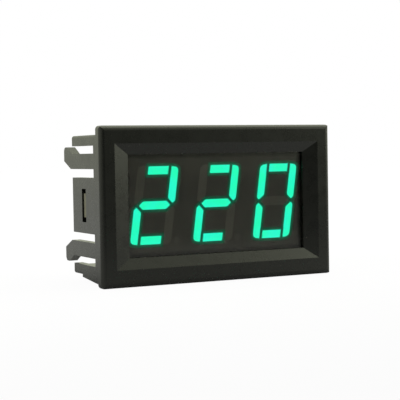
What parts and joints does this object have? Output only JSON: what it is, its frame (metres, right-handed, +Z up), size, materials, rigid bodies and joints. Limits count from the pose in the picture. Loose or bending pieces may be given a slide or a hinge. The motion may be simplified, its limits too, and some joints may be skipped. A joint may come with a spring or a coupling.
{
  "type": "digital panel meter",
  "caption": "Snap-in digital panel meter: bezel with a sloped frame round a smoked window, green segment digits, and a sleeve with hooked spring arms that holds the circuit board.",
  "frame": {"origin": "middle of the bezel's seating face, the plane that rests on the panel", "axes": "+X along the bezel's width, to the right seen from the front; +Y through the panel, toward the back; +Z up"},
  "size_m": [0.048, 0.0219, 0.029],
  "materials": {
    "housing_black": "satin moulded plastic",
    "smoked_window": "smoked clear plastic",
    "display_face": "painted matte face",
    "lit_bar": "lit green",
    "dark_bar": "unlit milky resin",
    "resin": "cast resin",
    "tinned_metal": "bright tin",
    "solder": "bright solder",
    "board_laminate": "solder mask over glass laminate",
    "capacitor_yellow": "moulded case",
    "resistor_coat": "cement coat",
    "bare_aluminium": "drawn can",
    "black_base": "moulded foot",
    "trimmer_blue": "moulded case",
    "trimmer_base_beige": "ceramic-coloured plate",
    "rotor_white": "moulded rotor",
    "black_epoxy": "moulded epoxy",
    "chip_resistor_black": "glazed face with tinned ends",
    "ceramic_tan": "ceramic with tinned ends"
  },
  "bodies": {
    "meter": {"bezel_housing": "housing_black", "window_filter": "smoked_window", "display_shell": "display_face", "display_resin": "resin", "display_pins": "tinned_metal", "digit_1_lit_bars": "lit_bar", "digit_2_lit_bars": "lit_bar", "digit_3_lit_bars": "lit_bar", "digit_1_dark_bars": "dark_bar", "digit_2_dark_bars": "dark_bar", "digit_3_dark_bars": "dark_bar", "circuit_board": "board_laminate", "display_solder_joints": "solder", "component_solder_joints": "solder", "film_capacitor": "capacitor_yellow", "film_capacitor_wires": "tinned_metal", "fusible_resistor": "resistor_coat", "fusible_resistor_wires": "tinned_metal", "electrolytic_can": "bare_aluminium", "electrolytic_foot": "black_base", "trimmer_housing": "trimmer_blue", "trimmer_base": "trimmer_base_beige", "trimmer_pins": "tinned_metal", "microcontroller": "black_epoxy", "microcontroller_legs": "tinned_metal", "bridge_rectifier": "black_epoxy", "bridge_rectifier_legs": "tinned_metal", "voltage_regulator": "black_epoxy", "voltage_regulator_legs": "tinned_metal", "digit_transistors": "black_epoxy", "digit_transistor_legs": "tinned_metal", "segment_resistors": "chip_resistor_black", "chip_capacitors": "ceramic_tan", "diodes": "black_epoxy", "diode_tabs": "tinned_metal"},
    "rotor": {"trimmer_rotor": "rotor_white"}
  },
  "joints": [
    {"name": "trimmer_turn", "type": "hinge", "parent": "meter", "child": "rotor", "pos_m": [0.0146, 0.012, 0.0066], "axis": [0, 1, 0], "range_deg": [-130, 130]}
  ]
}
